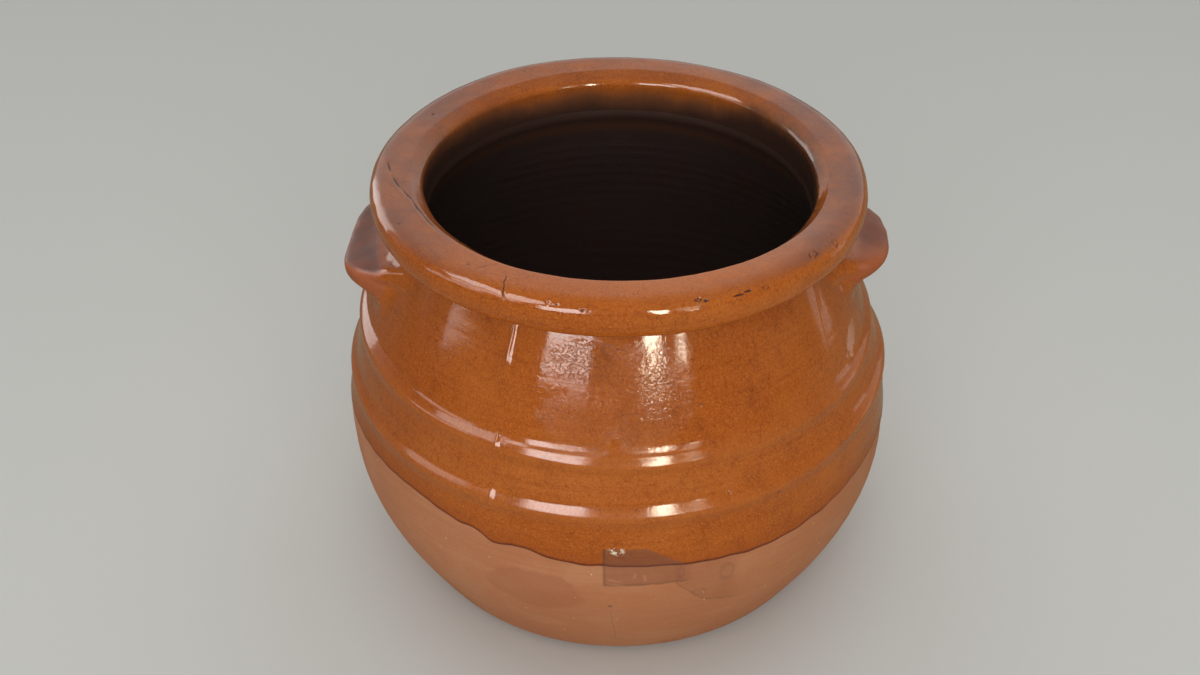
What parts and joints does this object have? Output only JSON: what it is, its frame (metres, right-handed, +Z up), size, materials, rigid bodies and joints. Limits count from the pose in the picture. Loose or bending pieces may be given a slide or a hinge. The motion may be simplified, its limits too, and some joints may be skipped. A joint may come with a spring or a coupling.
{
  "type": "cooking pot",
  "caption": "Round-bellied thrown clay cooking pot with a wide open mouth, thick rolled rim, ledge ears and a honey-brown glaze that stops at the belly.",
  "frame": {"origin": "centre of the flat base on the table", "axes": "+Z up through the mouth, ears on +X and -X, +Y away from the viewer of the picture"},
  "size_m": [0.2536, 0.2536, 0.202],
  "materials": {
    "bare_clay": "matt unglazed terracotta",
    "slip": "smooth joining slip under the glaze",
    "honey_glaze": "glossy honey-brown lead-style glaze",
    "hollow_glaze": "glossy dark brown glaze"
  },
  "bodies": {
    "root": {"clay_body": "bare_clay", "rolled_rim": "bare_clay", "left_ear": "bare_clay", "right_ear": "bare_clay", "left_ear_slip": "slip", "right_ear_slip": "slip", "outer_glaze": "honey_glaze", "inner_glaze": "hollow_glaze", "rim_glaze": "honey_glaze", "left_ear_glaze": "honey_glaze", "right_ear_glaze": "honey_glaze"}
  },
  "joints": []
}
